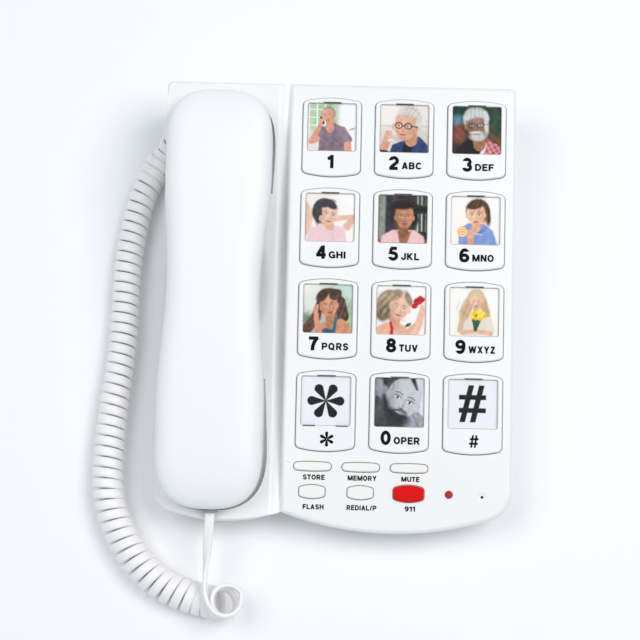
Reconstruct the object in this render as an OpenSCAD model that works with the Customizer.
// Big-button picture telephone with a corded handset lying in its left-hand cradle.
// Millimetres, +Z up, origin at the middle of the footprint on the surface it stands on.
// Most pieces are drawn in the deck frame: U to the right, V up the slope, W out of the deck.

/* [Base] */
// Overall width of the base
base_w = 177.5; // [172:0.5:186]
// Length of the base along its sloping deck
base_l = 225.5; // [221:0.5:234]
// Tilt of the deck, front edge low
deck_tilt = 6.5; // [5:0.5:8]
// Height of the middle of the deck above the floor
deck_h = 39; // [38:0.5:44]
// Inward taper of the side walls, degrees from the deck's normal
wall_draft = 6.5; // [4:0.5:8]
// Wall thickness of the mouldings
wall = 2.5; // [2:0.1:3]
// Radius of the front edge of the key panel
panel_arc_r = 160; // [150:5:200]
// Radius of the front edge of the cradle
cradle_arc_r = 85; // [80:1:110]
// How far the cradle's front edge stands back from the panel's
cradle_set_back = 4.55; // [3.5:0.05:5.5]
// Radius of the front right corner
corner_r_right = 14.5; // [10:0.5:18]
// Radius of the front left corner
corner_r_left = 12; // [9:0.5:15]
// Radius of the two back corners
corner_r_back = 2.5; // [2:0.5:6]
// Inward lean of the left edge at the back
left_lean = 1; // [0:0.1:2]
// Height of the joint between upper case and base pan
part_z = 12; // [11:0.5:13]
// Height of the base pan's underside
pan_z = 2; // [1.5:0.1:2.5]
// Height of the lip that centres the upper case
lip_h = 2; // [1.5:0.1:3]

/* [Cradle] */
// Width of the cradle side, from the left edge to the groove
cradle_w = 63; // [61:0.5:65]
// Depth of the saddle at its lowest point
dip_depth = 9; // [7:0.5:10]
// Where along the deck the saddle is lowest
dip_v = 2.25; // [-5:0.25:8]
// Extra depth of the groove beside the key panel
groove_depth = 1.6; // [1:0.1:2.2]
// Rounding of the panel's edge along the groove
panel_edge_r = 3; // [2:0.25:3.5]
// Depth of the two handset wells below the deck
well_depth = 9.5; // [8:0.25:10.5]
// Clearance round the handset in its wells
well_gap = 1; // [0.6:0.1:1.2]
// Straight stretch of the ear well
ear_well_l = 21.25; // [18:0.25:24]
// Straight stretch of the mouth well
mouth_well_l = 41.75; // [38:0.25:45]
// Half width of the finger scoop
scoop_u = 25; // [20:0.5:25.5]
// Half length of the finger scoop, as a share of the space between the wells
scoop_share = 0.4255; // [0.36:0.005:0.46]
// Depth of the finger scoop below the saddle
scoop_depth = 8; // [5:0.5:9]

/* [Picture keys] */
// Space between key columns
key_gap_u = 7.4; // [6.5:0.1:8.5]
// Space between key rows
key_gap_v = 6.2; // [5.5:0.1:7.5]
// From the groove to the first column
keypad_left = 6.95; // [6:0.05:8]
// From the last column to the right edge
keypad_right = 5.45; // [4.5:0.05:6.5]
// From the back edge to the first row
keypad_back = 7.6; // [6.5:0.1:9]
// From the last row to the front tip
keypad_front = 40.1; // [39:0.1:42]
// Radius of the bowed ends of a picture key
key_bow_r = 58; // [50:1:80]
// Corner radius of a picture key
key_corner_r = 2.5; // [2:0.1:3.5]
// How far the keys stand above the deck
key_proud = 1.8; // [1.2:0.1:2.5]
// Running gap round every key
key_gap = 0.4; // [0.3:0.05:0.5]
// Travel of every key
key_travel = 1.5; // [1:0.1:1.7]
// From a key's side to its window
window_side = 2.3; // [2.1:0.1:3.2]
// From a key's tip to its window
window_top = 2.7; // [2.5:0.1:4]
// From a key's foot to its window
window_foot = 12.8; // [12:0.1:14]
// Depth of the pocket for card and clear cover
pocket_depth = 1.6; // [1.3:0.1:2]
// Thickness of the picture card
card_t = 0.35; // [0.2:0.05:0.5]

/* [Function keys] */
// Distance between function keys, as a share of the picture keys' columns
func_share = 0.6548; // [0.62:0.005:0.67]
// Row of slim keys, from the front tip of the panel
func_row_1 = 32.5; // [32:0.25:34]
// Row of short keys, from the front tip of the panel
func_row_2 = 20; // [19:0.25:21]
// Space between slim keys
slim_gap = 5.5; // [5:0.1:7]
// Length of a slim key
slim_l = 4.4; // [4:0.1:5]
// Space between short keys
short_gap = 11.2; // [9.5:0.1:12.5]
// Length of a short key
short_l = 6.6; // [6:0.1:7.2]
// How much wider the red emergency key is than a short key
red_extra = 2.1; // [1.5:0.1:2.5]
// Length of the red emergency key
red_l = 8.1; // [7.5:0.1:8.6]
// Diameter of the indicator lamp
lamp_d = 3.6; // [3:0.1:5]

/* [Handset] */
// Greatest width of the handset
hs_w = 52.6; // [51:0.2:53.4]
// Width of the handset's waist
hs_waist_w = 44.5; // [40:0.5:48]
// From the left edge of the base to the handset's centre line
hs_inset = 28.65; // [28.4:0.05:29.2]
// Ear end, measured from the back edge of the base
hs_back = 7.6; // [7:0.2:9]
// Mouth end, measured from the front edge of the base
hs_front = 10.2; // [9.4:0.1:12]
// Height of the handset's back above the deck
hs_top = 22.5; // [20:0.5:26]
// Height of the joint between the handset's shells above the deck
hs_part = 9; // [8:0.5:10]
// Height of the grip's underside above the deck
grip_w = 3.5; // [2.5:0.5:5]
// Wall thickness of the handset
hs_wall = 2.2; // [1.8:0.1:2.6]

/* [Inside] */
// Thickness of the circuit board
board_t = 1.6; // [1.2:0.1:2]
// Depth of the circuit board's upper face below the deck
board_w = 12; // [11.5:0.25:13]
// Thickness of the silicone mat
mat_t = 0.8; // [0.6:0.1:1]
// Diameter of the hook plunger
plunger_d = 9; // [8:0.5:11]
// Rise of the hook plunger
plunger_rise = 4; // [3:0.25:4.5]
// Shank diameter of the case screws
screw_d = 2.9; // [2.5:0.1:3.2]
// Diameter of the receiver capsule
receiver_d = 32; // [28:1:33]
// Diameter of the sounder
ringer_d = 27; // [22:1:30]
// Diameter of a rubber foot
foot_d = 12; // [10:0.5:14]

/* [Cord] */
// Width of the flat cord
cord_w = 5; // [4.5:0.1:5.5]
// Outer diameter of the curly stretch
coil_d = 14.5; // [13.5:0.1:14.6]

/* [Hidden] */

seat = 0.3;            // gap between a piece and the seat it only rests on
slip = 0.1;            // gap round a piece that is pushed into its housing

// ---- driving places in the deck frame ----
half_w = base_w / 2;
half_l = base_l / 2;
edge_w = -4;                                        // level of the widest outline, below the deck
deck_y = edge_w * sin(deck_tilt);                   // centres the footprint on the origin
groove_u = cradle_w - half_w;
key_w = (half_w - groove_u - keypad_left - keypad_right - 2 * key_gap_u) / 3;
key_l = (base_l - keypad_back - keypad_front - 3 * key_gap_v) / 4;
key_pitch_u = key_w + key_gap_u;
key_pitch_v = key_l + key_gap_v;
keypad_u = key_u(1);
keypad_v = (key_v(0) + key_v(3)) / 2;
window_w = key_w - 2 * window_side;
window_l = key_l - window_top - window_foot;
hs_u = hs_inset - half_w;
hs_tip_v = half_l - hs_back;
hs_end_v = hs_front - half_l;
func_pitch = key_pitch_u * func_share;
func_u = keypad_u - key_pitch_u * 0.507;            // middle key of each function row
slim_w = func_pitch - slim_gap;
short_w = func_pitch - short_gap;
red_w = short_w + red_extra;
row_1_v = func_row_1 - half_l;
row_2_v = func_row_2 - half_l;
lamp_u = func_u + func_pitch * 1.835;
mic_hole_u = func_u + func_pitch * 2.525;

function key_u(c) = groove_u + keypad_left + key_w / 2 + c * key_pitch_u;
function key_v(r) = half_l - keypad_back - key_l / 2 - r * key_pitch_v;
// Height above the floor of a point of the deck frame, and its place along Y
function deck_z(v, w) = deck_h + v * sin(deck_tilt) + w * cos(deck_tilt);
function row_y(v, w) = deck_y + v * cos(deck_tilt) - w * sin(deck_tilt);

module on_deck() translate([0, deck_y, deck_h]) rotate([deck_tilt, 0, 0]) children();

// ---- general shapes ----
function arc(c, r, a0, a1, n) =
  [for (i = [0:n]) let (a = a0 + (a1 - a0) * i / n) [c.x + r * cos(a), c.y + r * sin(a)]];

// Closed solid through a list of rings with equally many points, each ring anticlockwise from above
module loft(rings) {
  n = len(rings[0]);
  m = len(rings);
  bottom = [[for (i = [0:n - 1]) i]];
  top = [[for (i = [n - 1:-1:0]) (m - 1) * n + i]];
  sides = [for (k = [0:m - 2], i = [0:n - 1])
    let (j = (i + 1) % n, a = k * n, b = a + n)
    each [[a + i, b + i, b + j], [a + i, b + j, a + j]]];
  polyhedron(points = [for (r = rings) each r], faces = concat(bottom, top, sides));
}

function raise(points, w) = [for (p = points) [p.x, p.y, w]];

// Barrel outline: straight sides, bowed ends, rounded corners; e draws it in evenly
function barrel(w, l, bow, r, e = 0) =
  let (
    rr = max(r - e, 0.3), big = bow - e, xc = w / 2 - e - rr,
    cy = l / 2 - bow, yc = cy + sqrt(pow(big - rr, 2) - pow(xc, 2)), a = atan2(yc - cy, xc),
    corner = arc([xc, yc], rr, 0, a, 3),
    end = [for (k = [1:4]) let (t = a + (180 - 2 * a) * k / 5) [big * cos(t), cy + big * sin(t)]],
    half = concat(corner, end, [for (i = [3:-1:0]) [-corner[i].x, corner[i].y]])
  ) concat(half, [for (p = half) [-p.x, -p.y]]);

function rounded(w, l, r) = [for (q = [[1, 1, 0], [-1, 1, 90], [-1, -1, 180], [1, -1, 270]])
  each arc([q.x * (w / 2 - r), q.y * (l / 2 - r)], r, q[2], q[2] + 90, 4)];

// ---- outline of the base ----
panel_c = [half_w - 59.5, panel_arc_r - half_l];
cradle_c = [34.5 - half_w, cradle_arc_r - half_l + cradle_set_back];
right_c = let (u = half_w - corner_r_right)
  [u, panel_c.y - sqrt(pow(panel_arc_r - corner_r_right, 2) - pow(u - panel_c.x, 2))];
left_c = let (u = corner_r_left - half_w)
  [u, cradle_c.y - sqrt(pow(cradle_arc_r - corner_r_left, 2) - pow(u - cradle_c.x, 2))];
lean_from = -20;
outline = concat(
  arc(panel_c, panel_arc_r, 270 - asin((panel_c.x - groove_u) / panel_arc_r),
      360 + atan2(right_c.y - panel_c.y, right_c.x - panel_c.x), 12),
  arc(right_c, corner_r_right, 366 + atan2(right_c.y - panel_c.y, right_c.x - panel_c.x), 360, 6),
  arc([half_w - corner_r_back, half_l - corner_r_back], corner_r_back, 0, 90, 4),
  arc([left_lean + corner_r_back - half_w, half_l - corner_r_back], corner_r_back, 90, 180, 4),
  [for (k = [1:4]) let (s = 1 - k / 4) [left_lean * s * s - half_w, lean_from + s * (half_l - lean_from)]],
  arc(left_c, corner_r_left, 180, 354 + atan2(left_c.y - cradle_c.y, left_c.x - cradle_c.x), 6),
  [for (k = [0:7]) let (
      a = 360 + atan2(left_c.y - cradle_c.y, left_c.x - cradle_c.x), b = 270 + asin((groove_u - cradle_c.x) / cradle_arc_r))
    cradle_c + cradle_arc_r * [cos(a + (b - a) * k / 8), sin(a + (b - a) * k / 8)]]
);
function ring(e, w) = [for (p = outline) [p.x * (1 - e / half_w), p.y * (1 - e / half_l), w]];
function draft(w) = (edge_w - w) * tan(wall_draft);
deep_w = -62;                                       // below every point of the base

module base_block(e) loft([ring(draft(deep_w) + e, deep_w), ring(e, edge_w), ring(0.1 + e, -2), ring(0.55 + e, -0.9),
                           ring(1.2 + e, -0.3), ring(2.2 + e, 0)]);
module base_hollow(e, top) loft([ring(draft(deep_w) + e, deep_w - 1), ring(e, top)]);
module slab(z0, z1) translate([-half_w - 5, -half_l - 5, z0]) cube([base_w + 10, base_l + 10, z1 - z0]);

// ---- handset form ----
hs_half = hs_w / 2;
ear_c = hs_tip_v - 26.9;                            // where the rounding of the ear end begins
mouth_c = hs_end_v + 23.8;                          // where the rounding of the mouth end begins
ear_well_v = ear_c - ear_well_l;
mouth_well_v = mouth_c + mouth_well_l;
waist_v = dip_v - 1;
waist_reach = (ear_well_v - mouth_well_v) * 0.66;
pad_w = -well_depth + seat;                         // faces of the ear and mouth pads
pad_swell = 5;                                      // depth that the flat faces cut off the rounded pads
function end_fall(v) =
  v > ear_c ? pow(max(0, 1 - pow((v - ear_c) / (hs_tip_v - ear_c), 2.3)), 1 / 2.3)
  : v < mouth_c ? pow(max(0, 1 - pow((mouth_c - v) / (mouth_c - hs_end_v), 2.8)), 1 / 2.8) : 1;
function hs_width(v) = hs_half - (hs_w - hs_waist_w) / 2 * pow(cos(90 * min(1, abs(v - waist_v) / waist_reach)), 2);
function ease(x) = let (t = min(1, max(0, x))) t * t * (3 - 2 * t);
function back_line(v) = hs_top - 2 * pow((v - waist_v) / 100, 2);
function pad_share(v) = ease((v - (ear_well_v - 11)) / 15) + ease((mouth_well_v + 9 - v) / 15);
function under_line(v) = grip_w + (pad_w - grip_w) * pad_share(v);
function signed_pow(x, p) = sign(x) * pow(abs(x), p);
// Point of the skin at station v and angle t round the section, drawn in by the wall e
function hs_point(v, t, e) =
  let (
    tip = v > ear_c ? hs_tip_v - ear_c : mouth_c - hs_end_v,
    mid = v > ear_c ? ear_c : v < mouth_c ? mouth_c : v,
    vi = mid + (v - mid) * (tip - e) / tip,
    m = t <= 180 ? 2 / 2.6 : 2 / 3.4,
    high = t <= 180 ? back_line(v) - hs_part - e : hs_part - under_line(v) - e + pad_swell * pad_share(v),
    w = hs_part + high * end_fall(v) * signed_pow(sin(t), m)
  ) [hs_u + (hs_width(v) - e) * end_fall(v) * signed_pow(cos(t), m), vi,
     t <= 180 ? max(w, hs_part) : min(max(w, under_line(v) + e), hs_part)];
tip_steps = [0.998, for (k = [7:-1:1]) sin(90 * k / 8)];
stations = concat(
  [for (s = tip_steps) mouth_c - s * (mouth_c - hs_end_v)],
  [for (k = [0:19]) mouth_c + (ear_c - mouth_c) * k / 19],
  [for (k = [7:-1:0]) ear_c + tip_steps[k] * (hs_tip_v - ear_c)]
);
section_steps = 12;

// One half of the handset as a shell: outer skin, inner skin and the rim between them
module handset_shell(from) {
  s = len(stations);
  k = section_steps + 1;
  skin = function(e) [for (v = stations, j = [0:section_steps]) hs_point(v, from + 180 * j / section_steps, e)];
  inner = s * k;
  grid = function(o, flip) [for (i = [0:s - 2], j = [0:k - 2])
    let (a = o + i * k + j, b = a + k)
    each (flip ? [[a, b, b + 1], [a, b + 1, a + 1]] : [[a, b + 1, b], [a, a + 1, b + 1]])];
  cap = function(o, i, flip) [for (j = [0:k - 1]) o + i * k + (flip ? k - 1 - j : j)];
  loop = function(o) concat([for (i = [0:s - 1]) o + i * k], [for (i = [s - 1:-1:0]) o + i * k + k - 1]);
  lo = loop(0);
  li = loop(inner);
  n = len(lo);
  rim = [for (i = [0:n - 1]) let (j = (i + 1) % n) each [[lo[i], lo[j], li[j]], [lo[i], li[j], li[i]]]];
  polyhedron(
    points = concat(skin(0), skin(hs_wall)),
    faces = concat(grid(0, true), grid(inner, false), rim,
                   [cap(0, 0, false), cap(0, s - 1, true), cap(inner, 0, true), cap(inner, s - 1, false)])
  );
}

// Outline of the handset drawn out by e, used for its wells
function hs_outline(e) = concat(
  [for (v = stations) [hs_u + (hs_width(v) + e) * end_fall(v), v + e * out_of(v)]],
  [for (i = [len(stations) - 1:-1:0]) let (v = stations[i]) [hs_u - (hs_width(v) + e) * end_fall(v), v + e * out_of(v)]]
);
function out_of(v) = v > ear_c ? (v - ear_c) / (hs_tip_v - ear_c)
  : v < mouth_c ? (v - mouth_c) / (mouth_c - hs_end_v) : 0;

// ---- cradle ----
dip_r = (pow(half_l - dip_v, 2) + pow(dip_depth, 2)) / (2 * dip_depth);
function dip(v) = dip_depth - pow(v - dip_v, 2) / (2 * dip_r);

// Saddle and groove: a profile turned about an axis far above the cradle, then the panel's rounded edge
module saddle(t) {
  translate([0, dip_v, dip_r - dip_depth]) rotate([0, 90, 0])
    rotate_extrude($fn = 180) polygon([
      [0, -half_w - 5], [dip_r + t, -half_w - 5], [dip_r + t, groove_u - 6], [dip_r + t + groove_depth * 0.25, groove_u - 4],
      [dip_r + t + groove_depth * 0.8, groove_u - 1.8], [dip_r + t + groove_depth, groove_u - 0.6],
      [dip_r + t + groove_depth, groove_u + t], [0, groove_u + t]]);
  translate([0, half_l + 5, 0]) rotate([90, 0, 0]) linear_extrude(base_l + 10)
    polygon(concat([[groove_u + panel_edge_r + t, 1], [groove_u - 1, 1], [groove_u - 1, -panel_edge_r - t]],
                   arc([groove_u + panel_edge_r + t, -panel_edge_r - t], panel_edge_r, 180, 90, 5)));
}
module wells(t) {
  floor_w = -well_depth - t;
  plan = hs_outline(well_gap + t);
  translate([0, 0, floor_w]) linear_extrude(well_depth + t + 5) intersection() {
    polygon(plan);
    union() {
      translate([hs_u - hs_w, ear_well_v - t]) square([2 * hs_w, half_l]);
      translate([hs_u - hs_w, -half_l]) square([2 * hs_w, half_l + mouth_well_v + t]);
    }
  }
}
scoop_v = scoop_share * (ear_well_v - mouth_well_v);
module scoop(t) {
  ru = (pow(scoop_u, 2) + pow(scoop_depth, 2)) / (2 * scoop_depth);
  rv = (pow(scoop_v, 2) + pow(scoop_depth, 2)) / (2 * scoop_depth);
  reach = scoop_v * 1.12;
  n = 14;
  side = [for (k = [0:n]) let (y = reach * (2 * k / n - 1)) [ru + t - (rv - sqrt(rv * rv - y * y)), y]];
  translate([hs_u, dip_v + 7.5, ru - dip_depth - scoop_depth]) rotate([90, 0, 0])
    rotate_extrude($fn = 72) polygon(concat([[0, -reach]], side, [[0, reach]]));
}
module cradle_cut(t) {
  saddle(t);
  wells(t);
  scoop(t);
}

// ---- places of screws and bosses ----
CASE_SCREWS = [[hs_u - 10, mouth_c + 4], [hs_u - 4, ear_c + 9], [lamp_u + 8.4, row_2_v + 11],
               [key_u(1) + key_pitch_u / 2, key_v(0) - key_pitch_v / 2]];
BOARD_SCREWS = [[key_u(0) + key_pitch_u / 2, key_v(0) - key_pitch_v / 2],
                [key_u(0) + key_pitch_u / 2, key_v(2) - key_pitch_v / 2],
                [key_u(1) + key_pitch_u / 2, key_v(2) - key_pitch_v / 2]];
boss_d = screw_d + 3.4;
screw_bite = 6;                                     // length of a case screw in the upper case
board_boss_d = 5.4;
board_screw_d = 2.2;
module at_case_screws() for (p = CASE_SCREWS) translate([p.x, row_y(p.y, -8), 0]) children();
module at_board_screws() for (p = BOARD_SCREWS) translate([p.x, p.y, 0]) children();

// Spots of the keys: [column or U, row or V, width, length, bow, corner]
FUNCTION_KEYS = [
  ["store_key", func_u - func_pitch, row_1_v, slim_w, slim_l, 90, slim_l * 0.42],
  ["memory_key", func_u, row_1_v, slim_w, slim_l, 90, slim_l * 0.42],
  ["mute_key", func_u + func_pitch, row_1_v, slim_w, slim_l, 90, slim_l * 0.42],
  ["flash_key", func_u - func_pitch, row_2_v, short_w, short_l, 17, 1.1],
  ["redial_key", func_u, row_2_v, short_w, short_l, 17, 1.1],
  ["emergency_key", func_u + func_pitch, row_2_v, red_w, red_l, 20, 1.3]
];

plunger_v = ear_well_v + 7;
port_y = row_y(half_l - 18.5, -24);                 // middle of the handset port along Y
port_z = 20;
port_w = 11.5;
port_h = 10.5;
port_x = draft(-29) + 0.8 * left_lean - half_w;      // outer face of the left wall at the port
jack_x = -6;
jack_w = 13;
jack_h = 12.6;
switch_x = [half_w - 54.75, half_w - 34.75];
switch_z = 20;
back_level = (switch_z - deck_z(half_l, 0)) / cos(deck_tilt);
back_y = row_y(half_l - draft(back_level), back_level); // outer face of the back wall at the switches

// ---- upper case ----
module upper_case() color("#f3f1ec") difference() {
  on_deck() base_block(0);
  slab(-40, part_z);
  on_deck() {
    cradle_cut(0);
    for (c = [0:2], r = [0:3]) translate([key_u(c), key_v(r), -wall - 1])
      linear_extrude(wall + 2) polygon(barrel(key_w, key_l, key_bow_r, key_corner_r, -key_gap));
    for (k = FUNCTION_KEYS) translate([k[1], k[2], -wall - 1])
      linear_extrude(wall + 2) polygon(barrel(k[3], k[4], k[5], k[6], -key_gap));
    translate([lamp_u, row_2_v, -wall - 1]) cylinder(d = lamp_d + 2 * slip, h = wall + 2, $fn = 32);
    translate([mic_hole_u, row_2_v - 0.9, -wall - 1]) cylinder(d = 1.4, h = wall + 2, $fn = 24);
    translate([mic_hole_u, row_2_v - 0.9, 5.5]) sphere(d = 12.2, $fn = 48);
    translate([hs_u, plunger_v, -well_depth - wall - 1])
      cylinder(d = plunger_d + 2 * key_gap, h = wall + 2, $fn = 48);
  }
  difference() {
    on_deck() base_hollow(wall, -wall);
    on_deck() cradle_cut(wall);
    at_case_screws() cylinder(d = boss_d, h = 80, $fn = 32);
    on_deck() at_board_screws() translate([0, 0, -board_w]) cylinder(d = board_boss_d, h = board_w, $fn = 32);
  }
  at_case_screws() translate([0, 0, part_z - 1]) cylinder(d = screw_d + slip, h = screw_bite + 1.2, $fn = 32);
  on_deck() at_board_screws() translate([0, 0, -board_w - 1]) cylinder(d = board_screw_d + slip, h = 8, $fn = 24);
  translate([-half_w - 5, port_y - port_w / 2 - slip, part_z - 1])
    cube([14, port_w + 2 * slip, port_z + port_h / 2 + slip - part_z + 1]);
  translate([jack_x - jack_w / 2 - slip, back_y - 8, part_z - 1]) cube([jack_w + 2 * slip, 16, jack_h + slip + 1]);
  for (x = switch_x) translate([x - 4, back_y - 8, switch_z - 1.9]) cube([8, 16, 3.8]);
}

// ---- base pan ----
module base_pan() color("#ece9e3") difference() {
  union() {
    difference() {
      union() {
        intersection() {
          on_deck() base_block(0);
          slab(pan_z, part_z);
        }
        intersection() {
          on_deck() base_hollow(wall + 0.2, -wall);
          slab(pan_z, part_z + lip_h);
        }
      }
      intersection() {
        on_deck() base_hollow(wall + 1.4, -wall);
        slab(pan_z + wall, 60);
      }
    }
    at_case_screws() translate([0, 0, pan_z]) cylinder(d = boss_d + 1.6, h = part_z - pan_z, $fn = 32);
    translate([hs_u, switch_y, pan_z]) cylinder(d = 14, h = switch_foot_z - pan_z, $fn = 48);
    translate([ringer_x, ringer_y, pan_z]) cylinder(d = ringer_d + 3.4, h = wall + 3, $fn = 64);
    translate([port_x + 5, port_y - 4, pan_z]) cube([10, 8, port_z - port_h / 2 - pan_z]);
    for (x = switch_x) translate([x - 6, back_y - wall - 6.6, pan_z]) cube([12, 3.6, switch_z - 4 - pan_z]);
    for (x = [-52, 0, 68]) translate([x - 0.7, -row_rib, pan_z]) cube([1.4, 2 * row_rib, wall + 2.5]);
    for (y = [-row_rib, row_rib]) translate([-half_w + 10, y - 0.7, pan_z]) cube([base_w - 20, 1.4, wall + 2.5]);
  }
  at_case_screws() {
    translate([0, 0, pan_z - 1]) cylinder(d = screw_d + 3.8, h = 5, $fn = 32);
    translate([0, 0, pan_z]) cylinder(d = screw_d + 0.5, h = part_z, $fn = 32);
  }
  at_feet() translate([0, 0, pan_z - 1]) cylinder(d = foot_d + 2 * slip, h = 1.8, $fn = 48);
  translate([ringer_x, ringer_y, pan_z + wall]) cylinder(d = ringer_d + 2 * slip, h = 10, $fn = 64);
  translate([ringer_x, ringer_y, pan_z - 1]) for (a = [0:60:300]) rotate(a)
    translate([ringer_d / 4, 0, 0]) cylinder(d = 2.6, h = wall + 2, $fn = 20);
  translate([jack_x - jack_w / 2 - slip, back_y - 17, pan_z + wall]) cube([jack_w + 2 * slip, 20, 40]);
}
row_rib = 40;
ringer_x = keypad_u + 4;
ringer_y = 4;
foot_side = 12.75;
foot_front = 52;
foot_back = 42;
FEET = [[foot_side - half_w, foot_front - half_l], [half_w - foot_side, foot_front - half_l],
        [foot_side - half_w, half_l - foot_back], [half_w - foot_side, half_l - foot_back]];
module at_feet() for (p = FEET) translate([p.x, p.y, 0]) children();
module rubber_feet() color("#3b3b3d") at_feet() rotate_extrude($fn = 48)
  polygon([[0, 0], [foot_d / 2 - 1, 0], [foot_d / 2, 1], [foot_d / 2, pan_z + 0.8], [0, pan_z + 0.8]]);

module case_screws() color("silver") at_case_screws() {
  translate([0, 0, pan_z + 1]) difference() {
    cylinder(d = screw_d + 3, h = 3, $fn = 32);
    translate([0, 0, -1]) for (a = [0, 90]) rotate(a) translate([-1.8, -0.45, 0]) cube([3.6, 0.9, 2.2]);
  }
  translate([0, 0, pan_z + 4]) cylinder(d = screw_d, h = part_z + screw_bite - pan_z - 4, $fn = 32);
}

// ---- keys ----
flange_t = 1.2;
flange_w = -wall - seat;                            // upper face of the retaining tabs, below the deck
skirt_w = -6.2;
stem_w = -board_w + mat_t + 4.2;                    // foot of a key's stem
dome_w = stem_w - key_travel - seat;                // top of the dome beneath it

module key_shell(w, l, bow, r, proud) {
  difference() {
    union() {
      loft([raise(barrel(w, l, bow, r), skirt_w), raise(barrel(w, l, bow, r), proud - 0.7),
            raise(barrel(w, l, bow, r, 0.25), proud - 0.2), raise(barrel(w, l, bow, r, 0.8), proud)]);
      translate([-w / 2 - 1.4, -l / 6, flange_w - flange_t]) cube([w + 2.8, l / 3, flange_t]);
    }
    translate([0, 0, skirt_w - 1]) linear_extrude(-skirt_w) polygon(barrel(w, l, bow, r, 1.3));
  }
}
module picture_key(c, r) color("#f5f3ef") on_deck() translate([key_u(c), key_v(r), 0]) {
  difference() {
    key_shell(key_w, key_l, key_bow_r, key_corner_r, key_proud);
    translate([0, window_mid, key_proud - pocket_depth]) linear_extrude(pocket_depth + 1)
      polygon(rounded(window_w + 2 * slip, window_l + 2 * slip, 1));
    translate([-4.75, window_mid + window_l / 2, key_proud - 1]) cube([9.5, 0.7, 2]);
  }
  for (y = [-10, 10]) translate([0, y, stem_w]) cylinder(d = 5, h = -1 - stem_w, $fn = 32);
}
window_mid = key_l / 2 - window_top - window_l / 2;
module picture(c, r) on_deck() translate([key_u(c), key_v(r) + window_mid, key_proud - pocket_depth]) {
  color("#d8c9b8") linear_extrude(card_t) polygon(rounded(window_w - 0.2, window_l - 0.2, 0.9));
  color("#e6eef2", 0.5) translate([0, 0, card_t + 0.05])
    linear_extrude(pocket_depth - card_t - 0.15) polygon(rounded(window_w, window_l, 0.9));
}
module function_key(i, shade) {
  k = FUNCTION_KEYS[i];
  proud = i == 5 ? 1.7 : 1.1;
  color(shade) on_deck() translate([k[1], k[2], 0]) {
    key_shell(k[3], k[4], k[5], k[6], proud);
    translate([0, 0, stem_w]) cylinder(d = min(k[4] - 1.6, 4), h = -1 - stem_w + 0.5, $fn = 32);
  }
}
module indicator_lamp() color("#e3241c") on_deck() translate([lamp_u, row_2_v, 0]) {
  translate([0, 0, -board_w + mat_t + seat]) cylinder(d = 4.4, h = 1, $fn = 32);
  translate([0, 0, -board_w]) cylinder(d = lamp_d, h = board_w, $fn = 32);
  intersection() {
    sphere(d = lamp_d, $fn = 32);
    translate([-5, -5, 0]) cube([10, 10, 5]);
  }
}

// ---- mat and board ----
board_left = groove_u + 4;
module board_plan(e) intersection() {
  polygon([for (p = ring(wall + 3.2 + e, 0)) [p.x, p.y]]);
  translate([board_left + e, -half_l]) square([base_w, base_l]);
}
module keypad_mat() color("#9aa0a2") on_deck() difference() {
  union() {
    translate([0, 0, -board_w]) linear_extrude(mat_t) board_plan(1.5);
    for (c = [0:2], r = [0:3], y = [-10, 10]) translate([key_u(c), key_v(r) + y, -board_w + mat_t / 2])
      cylinder(r1 = 4.6, r2 = 3, h = dome_w + board_w - mat_t / 2, $fn = 32);
    for (k = FUNCTION_KEYS) translate([k[1], k[2], -board_w + mat_t / 2])
      cylinder(r1 = 3.4, r2 = 2.2, h = dome_w + board_w - mat_t / 2, $fn = 32);
  }
  at_board_screws() translate([0, 0, -board_w - 1]) cylinder(d = board_boss_d + 0.6, h = 4, $fn = 32);
  translate([CASE_SCREWS[3].x, CASE_SCREWS[3].y, -board_w - 1]) cylinder(d = boss_d + 3.6, h = 4, $fn = 32);
  translate([CASE_SCREWS[2].x, CASE_SCREWS[2].y, -board_w - 1]) cylinder(d = boss_d + 3.6, h = 4, $fn = 32);
  translate([lamp_u, row_2_v, -board_w - 1]) cylinder(d = lamp_d + 0.6, h = 4, $fn = 32);
}
module circuit_board() color("#2f7d4f") on_deck() difference() {
  union() {
    translate([0, 0, -board_w - board_t]) linear_extrude(board_t) board_plan(0);
    for (p = [[keypad_u - 30, keypad_v + 22], [keypad_u + 22, keypad_v - 40]])
      translate([p.x, p.y, -board_w - board_t - 2.4]) cube([18, 8, 2.5]);
  }
  at_board_screws() translate([0, 0, -board_w - 3]) cylinder(d = board_screw_d + 0.4, h = 5, $fn = 24);
  for (i = [2, 3]) translate([CASE_SCREWS[i].x, CASE_SCREWS[i].y, -board_w - 5]) cylinder(d = boss_d + 2.6, h = 8, $fn = 32);
}
module board_screws() color("silver") on_deck() at_board_screws() {
  translate([0, 0, -board_w - board_t - 1.6]) cylinder(d = 4.6, h = 1.6, $fn = 32);
  translate([0, 0, -board_w - board_t - 0.1]) cylinder(d = board_screw_d, h = board_t + 6, $fn = 24);
}

// ---- hook mechanism ----
plunger_low = -24;
collar_w = -well_depth - wall - seat - plunger_rise;
spring_wire = 0.8;
spring_low = -27;
module hook_plunger() color("#f0eee9") on_deck() translate([hs_u, plunger_v, 0]) {
  translate([0, 0, plunger_low]) cylinder(d = 4.6, h = collar_w - plunger_low, $fn = 40);
  translate([0, 0, collar_w - 1.4]) cylinder(d = plunger_d + 4, h = 1.4, $fn = 48);
  translate([0, 0, collar_w]) cylinder(d = plunger_d, h = -well_depth - collar_w - 1, $fn = 48);
  translate([0, 0, -well_depth - 1]) cylinder(d1 = plunger_d, d2 = plunger_d - 1.6, h = 1, $fn = 48);
}
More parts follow.
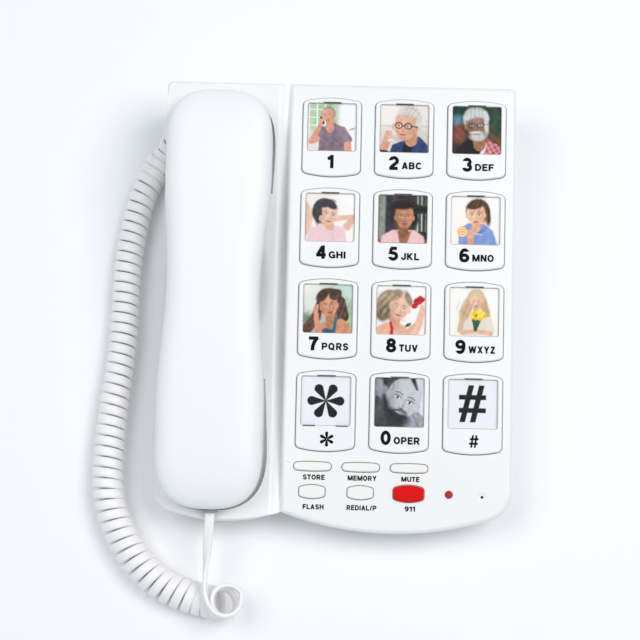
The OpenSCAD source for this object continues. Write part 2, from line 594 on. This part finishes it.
// Spring: a wire section carried round a helix
module hook_spring() color("#b9bcc0") on_deck() translate([hs_u, plunger_v, 0]) {
  turns = 5;
  per_turn = 12;
  r = 3.6;
  low = spring_low + spring_wire / 2;
  high = collar_w - 1.4 - seat - spring_wire / 2;
  loft([for (i = [turns * per_turn:-1:0]) let (a = 360 * i / per_turn, z = low + (high - low) * i / (turns * per_turn))
    [for (j = [0:5]) let (q = r + spring_wire / 2 * cos(60 * j))
      [q * cos(a), q * sin(a), z + spring_wire / 2 * sin(60 * j)]]]);
}
switch_y = row_y(plunger_v, spring_low);
switch_foot_z = deck_z(plunger_v, spring_low) - 7;
module hook_switch() color("#3a3d42") {
  on_deck() translate([hs_u, plunger_v, 0]) {
    translate([-8, -5.5, spring_low - seat - 4]) cube([16, 11, 4]);
    translate([0, 0, spring_low - seat - 0.5]) cylinder(d = 3.6, h = plunger_low - seat - spring_low + seat + 0.5, $fn = 32);
  }
  translate([hs_u - 6, switch_y - 4, switch_foot_z]) cube([12, 8, 3.4]);
}
module ringer() color("#8f8258") translate([ringer_x, ringer_y, pan_z + wall]) rotate_extrude($fn = 64)
  polygon([[0, 0.8], [ringer_d / 2 - 3, 0.8], [ringer_d / 2 - 3, 0], [ringer_d / 2, 0], [ringer_d / 2, 3],
           [ringer_d / 3, 4.4], [0, 4.4]]);

// ---- jacks and switches ----
module line_jack() color("#d9d6cf") difference() {
  translate([jack_x - jack_w / 2, back_y - 15, pan_z + wall]) cube([jack_w, 14.6, part_z + jack_h - pan_z - wall]);
  translate([jack_x - 4.9, back_y - 11.5, part_z + 2.5]) cube([9.8, 14, 6.8]);
  translate([jack_x - 2.1, back_y - 11.5, part_z + 9]) cube([4.2, 14, 2]);
}
module handset_port() color("#d9d6cf") difference() {
  translate([port_x + 0.6, port_y - port_w / 2, port_z - port_h / 2]) cube([15, port_w, port_h]);
  translate([port_x, port_y - 3.95, port_z - 3.4]) cube([12.6, 7.9, 6.8]);
}
module slide_knob(i) color("#e8e5df") translate([switch_x[i], 0, switch_z]) {
  translate([-1.75, back_y - wall - 1, -1.5]) cube([3.5, wall + 0.7, 3]);
  translate([-4, back_y - wall - seat - 1.2, -2.5]) cube([8, 1.2, 5]);
}
module switch_bodies() color("#2f3134") for (x = switch_x)
  translate([x - 8, back_y - wall - 2 * seat - 1.2 - 5.2, switch_z - 4]) cube([16, 5.2, 8]);

// ---- handset ----
hs_screws = [ear_c - (ear_c - waist_v) * 0.4416, mouth_c + (waist_v - mouth_c) * 0.65];
module handset_back_shell() color("#f6f6f4") on_deck() {
  difference() {
    union() {
      handset_shell(0);
      for (v = hs_screws) translate([hs_u, v, hs_part]) cylinder(d = 6.4, h = back_line(v) - hs_part - 1, $fn = 32);
    }
    for (v = hs_screws) translate([hs_u, v, hs_part - 1]) cylinder(d = 2.3, h = 8, $fn = 24);
  }
}
module handset_front_shell() color("#f4f4f2") on_deck() difference() {
  union() {
    handset_shell(180);
    for (v = hs_screws) translate([hs_u, v, grip_w + 0.5]) cylinder(d = 7.4, h = hs_part - grip_w - 0.5, $fn = 32);
    translate([hs_u, receiver_v, pad_w + 1]) difference() {
      cylinder(d = receiver_d + 3, h = hs_wall + 3, $fn = 64);
      translate([0, 0, -1]) cylinder(d = receiver_d + 2 * slip, h = 12, $fn = 64);
    }
    translate([hs_u, mic_v, pad_w + 1]) difference() {
      cylinder(d = 12.6, h = hs_wall + 4, $fn = 48);
      translate([0, 0, -1]) cylinder(d = 9.7 + 2 * slip, h = 12, $fn = 48);
    }
  }
  for (v = hs_screws) translate([hs_u, v, grip_w - 1]) {
    cylinder(d = 4.8, h = 3.4, $fn = 32);
    cylinder(d = 2.6, h = 30, $fn = 32);
  }
  for (a = [0:60:300]) translate([hs_u + 6 * cos(a), receiver_v + 6 * sin(a), pad_w - 1]) cylinder(d = 2.2, h = 6, $fn = 20);
  translate([hs_u, receiver_v, pad_w - 1]) cylinder(d = 2.2, h = 6, $fn = 20);
  for (x = [-4, 0, 4]) translate([hs_u + x, mic_v, pad_w - 1]) cylinder(d = 1.8, h = 6, $fn = 20);
  translate([hs_u - hs_jack_w / 2 - slip, hs_end_v - 1, hs_jack_low - slip])
    cube([hs_jack_w + 2 * slip, 14, hs_jack_h + 2 * slip]);
}
receiver_v = ear_c;
mic_v = mouth_c - 3;
module receiver_capsule() color("#55585c") on_deck() translate([hs_u, receiver_v, pad_w + hs_wall + seat])
  rotate_extrude($fn = 64) polygon([[0, 0], [receiver_d / 2, 0], [receiver_d / 2, 5], [receiver_d / 2 - 4, 7.5], [0, 7.5]]);
module microphone_capsule() color("#77797c") on_deck() translate([hs_u, mic_v, pad_w + hs_wall + seat])
  cylinder(d = 9.7, h = 4.5, $fn = 48);
module handset_weight() color("#8d9094") on_deck()
  translate([hs_u - 9, hs_screws[1] + 9, grip_w + hs_wall + seat]) cube([18, hs_screws[0] - hs_screws[1] - 31, 7]);
hs_jack_w = 11;
hs_jack_h = 9;
hs_jack_low = -1;
hs_jack_mid = hs_jack_low + hs_jack_h / 2;
jack_face_v = hs_end_v + 1.2;
module handset_jack() color("#d9d6cf") on_deck() difference() {
  translate([hs_u - hs_jack_w / 2, jack_face_v, hs_jack_low]) cube([hs_jack_w, 15, hs_jack_h]);
  translate([hs_u - 3.95, jack_face_v - 1, hs_jack_mid - 3.4]) cube([7.9, 13, 6.8]);
}
module handset_screws() color("silver") on_deck() for (v = hs_screws) translate([hs_u, v, grip_w + 0.7]) {
  cylinder(d = 4.4, h = 1.7, $fn = 32);
  cylinder(d = 2.2, h = hs_part + 6 - grip_w - 0.7, $fn = 24);
}

// ---- plugs and cord ----
plug_l = 12.4;
module plug_body() {
  translate([-plug_l, -3.85, -3.3]) cube([plug_l, 7.7, 6.6]);
  translate([-2, -1.6, 2.8]) cube([2.4, 3.2, 1.6]);
}
module handset_plug() color("#e9eef0", 0.7) on_deck()
  translate([hs_u, jack_face_v - 2.4, hs_jack_mid]) rotate([0, 0, -90]) plug_body();
module base_plug() color("#e9eef0", 0.7)
  translate([port_x - 1.8, port_y, port_z]) rotate([0, 0, 180]) plug_body();

// Routes of the cord, in the row frame
TAIL_ROUTE = [[-60.1, -104.4, 30.7], [-60.2, -110, 30], [-60.8, -118, 27.4], [-61.8, -127, 23.6], [-62.6, -135, 20.8],
              [-62.4, -142, 19.2], [-60.8, -148, 18.6], [-57.4, -152.4, 18.4]];
COIL_ROUTE = [[-97, 87, 10.5], [-99.4, 80, 8.2], [-102.5, 68, 7.5], [-107, 42, 7.5], [-108.5, 15, 7.5],
              [-108.8, -11, 7.5], [-110.5, -31, 7.5], [-113, -52, 7.5], [-114.3, -70, 7.5], [-114.8, -87, 7.5],
              [-113.2, -98, 7.5], [-109.8, -107, 7.5], [-104.8, -115.4, 7.5], [-99, -122.6, 7.5],
              [-91.6, -129.6, 7.5], [-83.6, -135.8, 7.5], [-76, -140.4, 7.5], [-69, -143.9, 7.7],
              [-61.5, -146.8, 9], [-55.5, -148.6, 12.6], [-52.4, -149.2, 17], [-51.6, -149.2, 20.6]];
BASE_ROUTE = [[-86.9, 95.9, 20], [-90.4, 95.7, 19.7], [-93.5, 94.3, 18], [-95.4, 91.6, 15], [-96.5, 88.8, 12.3],
              [-97, 87, 10.5]];

function unit(a) = a / norm(a);
// Smooth curve through the route's points
function smooth(p, n) = [for (i = [0:len(p) - 2], k = [0:n - 1]) let (
    a = p[max(i - 1, 0)], b = p[i], c = p[i + 1], d = p[min(i + 2, len(p) - 1)], t = k / n)
    0.5 * (2 * b + (c - a) * t + (2 * a - 5 * b + 4 * c - d) * t * t + (3 * b - a - 3 * c + d) * t * t * t),
  p[len(p) - 1]];
// Side direction carried from ring to ring without twisting
function carry(dirs, i, x) = i == len(dirs) ? []
  : let (y = unit(x - dirs[i] * (x * dirs[i]))) concat([y], carry(dirs, i + 1, y));
module tube(route, n, d, sides) {
  path = smooth(route, n);
  last = len(path) - 1;
  dirs = [for (i = [0:last]) unit(path[min(i + 1, last)] - path[max(i - 1, 0)])];
  side = carry(dirs, 0, cross(dirs[0], [0.3, 0.2, 1]));
  loft([for (i = [last:-1:0]) let (x = side[i], y = cross(dirs[i], x))
    [for (j = [0:sides - 1]) let (a = -360 * j / sides) path[i] + d / 2 * (cos(a) * x + sin(a) * y)]]);
}
module handset_cord_tail() color("#e6e3dd") tube(TAIL_ROUTE, 3, cord_w - 1, 8);
module base_cord_tail() color("#e6e3dd") tube(BASE_ROUTE, 2, cord_w - 1, 8);
module handset_cord_coil() color("#e6e3dd") tube(COIL_ROUTE, 3, coil_d, 10);

upper_case();
base_pan();
rubber_feet();
case_screws();
picture_key(0, 0);  // key_1
picture_key(1, 0);  // key_2
picture_key(2, 0);  // key_3
picture_key(0, 1);  // key_4
picture_key(1, 1);  // key_5
picture_key(2, 1);  // key_6
picture_key(0, 2);  // key_7
picture_key(1, 2);  // key_8
picture_key(2, 2);  // key_9
picture_key(0, 3);  // key_star
picture_key(1, 3);  // key_0
picture_key(2, 3);  // key_hash
picture(0, 0);  // picture_1
picture(1, 0);  // picture_2
picture(2, 0);  // picture_3
picture(0, 1);  // picture_4
picture(1, 1);  // picture_5
picture(2, 1);  // picture_6
picture(0, 2);  // picture_7
picture(1, 2);  // picture_8
picture(2, 2);  // picture_9
picture(0, 3);  // picture_star
picture(1, 3);  // picture_0
picture(2, 3);  // picture_hash
function_key(0, "#f5f3ef");  // store_key
function_key(1, "#f5f3ef");  // memory_key
function_key(2, "#f5f3ef");  // mute_key
function_key(3, "#f5f3ef");  // flash_key
function_key(4, "#f5f3ef");  // redial_key
function_key(5, "#e3140f");  // emergency_key
indicator_lamp();
keypad_mat();
circuit_board();
board_screws();
hook_plunger();
hook_spring();
hook_switch();
ringer();
line_jack();
handset_port();
slide_knob(0);  // ringer_switch
slide_knob(1);  // dial_switch
switch_bodies();
handset_back_shell();
handset_front_shell();
receiver_capsule();
microphone_capsule();
handset_weight();
handset_jack();
handset_screws();
handset_plug();
base_plug();
handset_cord_tail();
base_cord_tail();
handset_cord_coil();
